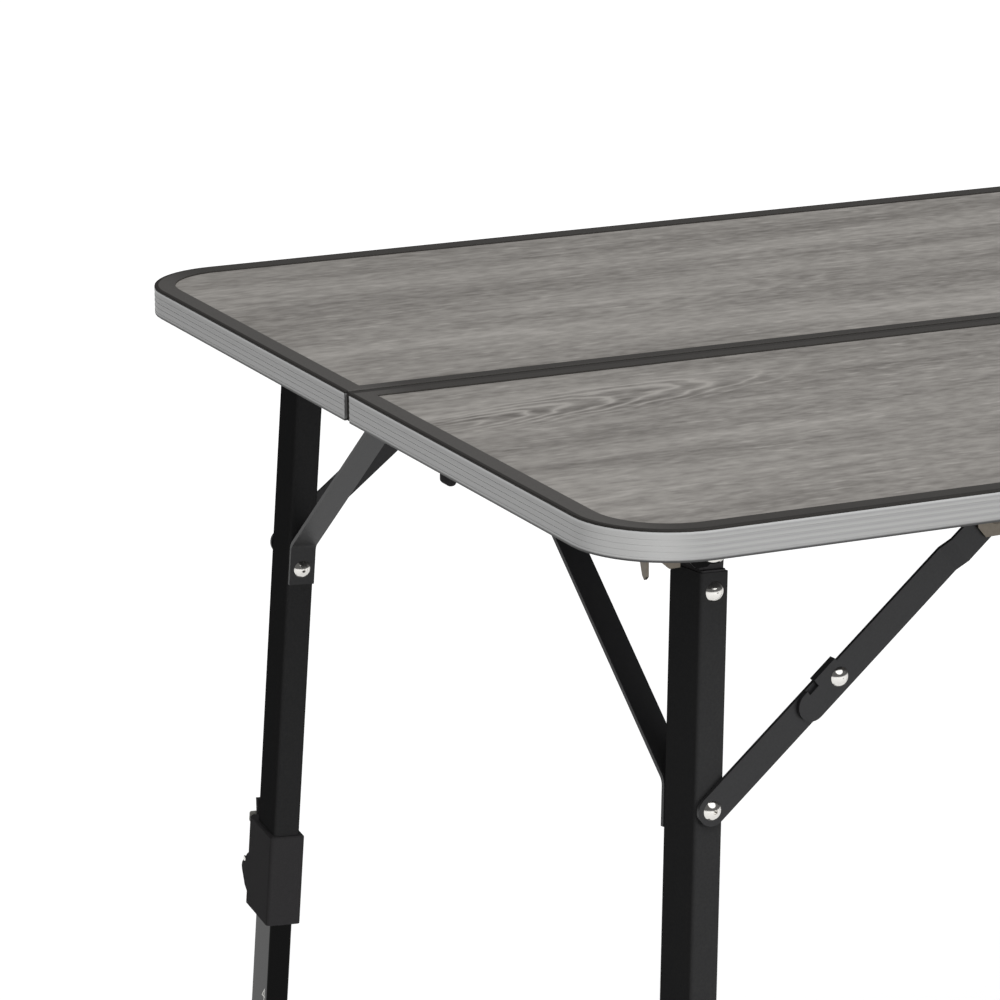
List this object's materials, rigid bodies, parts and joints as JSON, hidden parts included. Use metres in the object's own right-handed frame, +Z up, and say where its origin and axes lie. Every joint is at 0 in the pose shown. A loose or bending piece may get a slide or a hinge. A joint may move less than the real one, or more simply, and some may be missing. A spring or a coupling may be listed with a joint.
{
  "type": "folding camping table",
  "caption": "Folding camping table with a hinged two-part wood-look top, aluminium edge, dark rim, braced folding legs with knee stays and clamped telescopic feet.",
  "frame": {"origin": "on the floor under the middle of the table top", "axes": "+X along the table top, +Y from the front half to the rear half, +Z up"},
  "size_m": [1.2, 0.8, 0.7],
  "materials": {
    "laminate_board": "grey oak laminate, satin",
    "aluminium_edge": "natural anodised, finely grooved",
    "dark_rim": "matt dark grey",
    "seam_strip": "matt black",
    "black_plastic": "fine grained",
    "black_leg": "black powder coat, satin",
    "black_bar": "black powder coat, satin",
    "dark_inner_leg": "black anodised",
    "bright_rivets": "nickel plated",
    "zinc_bracket": "zinc plated, dull",
    "black_rubber": "matt"
  },
  "bodies": {
    "rear_half": {"rear_board": "laminate_board", "rear_edge": "aluminium_edge", "rear_rim": "dark_rim", "hinge_strip": "seam_strip", "rear_left_pivot_bracket": "zinc_bracket", "rear_left_stay_bracket": "zinc_bracket", "rear_right_pivot_bracket": "zinc_bracket", "rear_right_stay_bracket": "zinc_bracket"},
    "front_half": {"front_board": "laminate_board", "front_edge": "aluminium_edge", "front_rim": "dark_rim", "front_end_hooks": "black_plastic", "front_left_pivot_bracket": "zinc_bracket", "front_left_stay_bracket": "zinc_bracket", "front_right_pivot_bracket": "zinc_bracket", "front_right_stay_bracket": "zinc_bracket"},
    "front_left_leg": {"front_left_leg_tube": "black_leg", "front_left_leg_head": "black_plastic", "front_left_leg_rivets": "bright_rivets", "front_left_side_brace": "black_bar", "front_left_clamp_collar": "black_plastic"},
    "front_left_upper_stay": {"front_left_upper_stay": "black_bar"},
    "front_left_lower_stay": {"front_left_lower_stay": "black_bar", "front_left_stay_rivets": "bright_rivets"},
    "front_left_lower_leg": {"front_left_inner_tube": "dark_inner_leg", "front_left_foot": "black_rubber"},
    "front_left_lever": {"front_left_clamp_lever": "black_plastic"},
    "front_right_leg": {"front_right_leg_tube": "black_leg", "front_right_leg_head": "black_plastic", "front_right_leg_rivets": "bright_rivets", "front_right_side_brace": "black_bar", "front_right_clamp_collar": "black_plastic"},
    "front_right_upper_stay": {"front_right_upper_stay": "black_bar"},
    "front_right_lower_stay": {"front_right_lower_stay": "black_bar", "front_right_stay_rivets": "bright_rivets"},
    "front_right_lower_leg": {"front_right_inner_tube": "dark_inner_leg", "front_right_foot": "black_rubber"},
    "front_right_lever": {"front_right_clamp_lever": "black_plastic"},
    "rear_left_leg": {"rear_left_leg_tube": "black_leg", "rear_left_leg_head": "black_plastic", "rear_left_leg_rivets": "bright_rivets", "rear_left_side_brace": "black_bar", "rear_left_clamp_collar": "black_plastic"},
    "rear_left_upper_stay": {"rear_left_upper_stay": "black_bar"},
    "rear_left_lower_stay": {"rear_left_lower_stay": "black_bar", "rear_left_stay_rivets": "bright_rivets"},
    "rear_left_lower_leg": {"rear_left_inner_tube": "dark_inner_leg", "rear_left_foot": "black_rubber"},
    "rear_left_lever": {"rear_left_clamp_lever": "black_plastic"},
    "rear_right_leg": {"rear_right_leg_tube": "black_leg", "rear_right_leg_head": "black_plastic", "rear_right_leg_rivets": "bright_rivets", "rear_right_side_brace": "black_bar", "rear_right_clamp_collar": "black_plastic"},
    "rear_right_upper_stay": {"rear_right_upper_stay": "black_bar"},
    "rear_right_lower_stay": {"rear_right_lower_stay": "black_bar", "rear_right_stay_rivets": "bright_rivets"},
    "rear_right_lower_leg": {"rear_right_inner_tube": "dark_inner_leg", "rear_right_foot": "black_rubber"},
    "rear_right_lever": {"rear_right_clamp_lever": "black_plastic"}
  },
  "joints": [
    {"name": "top_fold", "type": "hinge", "parent": "rear_half", "child": "front_half", "pos_m": [0, 0, 0.7004], "axis": [-1, 0, 0], "range_deg": [0, 180]},
    {"name": "front_left_leg_fold", "type": "hinge", "parent": "front_half", "child": "front_left_leg", "pos_m": [-0.5, -0.309, 0.665], "axis": [0.0663, -0.9978, 0], "range_deg": [0, 93]},
    {"name": "front_left_upper_stay_turn", "type": "hinge", "parent": "front_half", "child": "front_left_upper_stay", "pos_m": [-0.30942, -0.29634, 0.665], "axis": [0.0663, -0.9978, 0], "range_deg": [-39.27, 0]},
    {"name": "front_left_knee", "type": "hinge", "parent": "front_left_upper_stay", "child": "front_left_lower_stay", "pos_m": [-0.41968, -0.30367, 0.5747], "axis": [0.0663, -0.9978, 0], "range_deg": [0, 180.01]},
    {"name": "front_left_height_slide", "type": "slide", "parent": "front_left_leg", "child": "front_left_lower_leg", "axis": [0.0488, 0.0539, 0.9974], "range_m": [-0.02, 0.175]},
    {"name": "front_left_clamp_lever_turn", "type": "hinge", "parent": "front_left_leg", "child": "front_left_lever", "pos_m": [-0.51804, -0.36562, 0.24984], "axis": [0.9964, 0.0662, -0.0523], "range_deg": [0, 105]},
    {"name": "front_right_leg_fold", "type": "hinge", "parent": "front_half", "child": "front_right_leg", "pos_m": [0.5, -0.309, 0.665], "axis": [0.0663, 0.9978, 0], "range_deg": [0, 93]},
    {"name": "front_right_upper_stay_turn", "type": "hinge", "parent": "front_half", "child": "front_right_upper_stay", "pos_m": [0.30942, -0.29634, 0.665], "axis": [0.0663, 0.9978, 0], "range_deg": [-39.27, 0]},
    {"name": "front_right_knee", "type": "hinge", "parent": "front_right_upper_stay", "child": "front_right_lower_stay", "pos_m": [0.41968, -0.30367, 0.5747], "axis": [0.0663, 0.9978, 0], "range_deg": [0, 180.01]},
    {"name": "front_right_height_slide", "type": "slide", "parent": "front_right_leg", "child": "front_right_lower_leg", "axis": [-0.0488, 0.0539, 0.9974], "range_m": [-0.02, 0.175]},
    {"name": "front_right_clamp_lever_turn", "type": "hinge", "parent": "front_right_leg", "child": "front_right_lever", "pos_m": [0.51804, -0.36562, 0.24984], "axis": [0.9964, -0.0662, 0.0523], "range_deg": [0, 105]},
    {"name": "rear_left_leg_fold", "type": "hinge", "parent": "rear_half", "child": "rear_left_leg", "pos_m": [-0.5, 0.309, 0.665], "axis": [-0.0663, -0.9978, 0], "range_deg": [0, 93]},
    {"name": "rear_left_upper_stay_turn", "type": "hinge", "parent": "rear_half", "child": "rear_left_upper_stay", "pos_m": [-0.30942, 0.29634, 0.665], "axis": [-0.0663, -0.9978, 0], "range_deg": [-39.27, 0]},
    {"name": "rear_left_knee", "type": "hinge", "parent": "rear_left_upper_stay", "child": "rear_left_lower_stay", "pos_m": [-0.41968, 0.30367, 0.5747], "axis": [-0.0663, -0.9978, 0], "range_deg": [0, 180.01]},
    {"name": "rear_left_height_slide", "type": "slide", "parent": "rear_left_leg", "child": "rear_left_lower_leg", "axis": [0.0488, -0.0539, 0.9974], "range_m": [-0.02, 0.175]},
    {"name": "rear_left_clamp_lever_turn", "type": "hinge", "parent": "rear_left_leg", "child": "rear_left_lever", "pos_m": [-0.51804, 0.36562, 0.24984], "axis": [-0.9964, 0.0662, 0.0523], "range_deg": [0, 105]},
    {"name": "rear_right_leg_fold", "type": "hinge", "parent": "rear_half", "child": "rear_right_leg", "pos_m": [0.5, 0.309, 0.665], "axis": [-0.0663, 0.9978, 0], "range_deg": [0, 93]},
    {"name": "rear_right_upper_stay_turn", "type": "hinge", "parent": "rear_half", "child": "rear_right_upper_stay", "pos_m": [0.30942, 0.29634, 0.665], "axis": [-0.0663, 0.9978, 0], "range_deg": [-39.27, 0]},
    {"name": "rear_right_knee", "type": "hinge", "parent": "rear_right_upper_stay", "child": "rear_right_lower_stay", "pos_m": [0.41968, 0.30367, 0.5747], "axis": [-0.0663, 0.9978, 0], "range_deg": [0, 180.01]},
    {"name": "rear_right_height_slide", "type": "slide", "parent": "rear_right_leg", "child": "rear_right_lower_leg", "axis": [-0.0488, -0.0539, 0.9974], "range_m": [-0.02, 0.175]},
    {"name": "rear_right_clamp_lever_turn", "type": "hinge", "parent": "rear_right_leg", "child": "rear_right_lever", "pos_m": [0.51804, 0.36562, 0.24984], "axis": [-0.9964, -0.0662, -0.0523], "range_deg": [0, 105]}
  ],
  "couplings": [
    {"joint": "front_left_upper_stay_turn", "follows": "front_left_leg_fold", "ratio": -0.4221},
    {"joint": "front_left_knee", "follows": "front_left_leg_fold", "ratio": 1.9355},
    {"joint": "front_right_upper_stay_turn", "follows": "front_right_leg_fold", "ratio": -0.4221},
    {"joint": "front_right_knee", "follows": "front_right_leg_fold", "ratio": 1.9355},
    {"joint": "rear_left_upper_stay_turn", "follows": "rear_left_leg_fold", "ratio": -0.4221},
    {"joint": "rear_left_knee", "follows": "rear_left_leg_fold", "ratio": 1.9355},
    {"joint": "rear_right_upper_stay_turn", "follows": "rear_right_leg_fold", "ratio": -0.4221},
    {"joint": "rear_right_knee", "follows": "rear_right_leg_fold", "ratio": 1.9355}
  ]
}
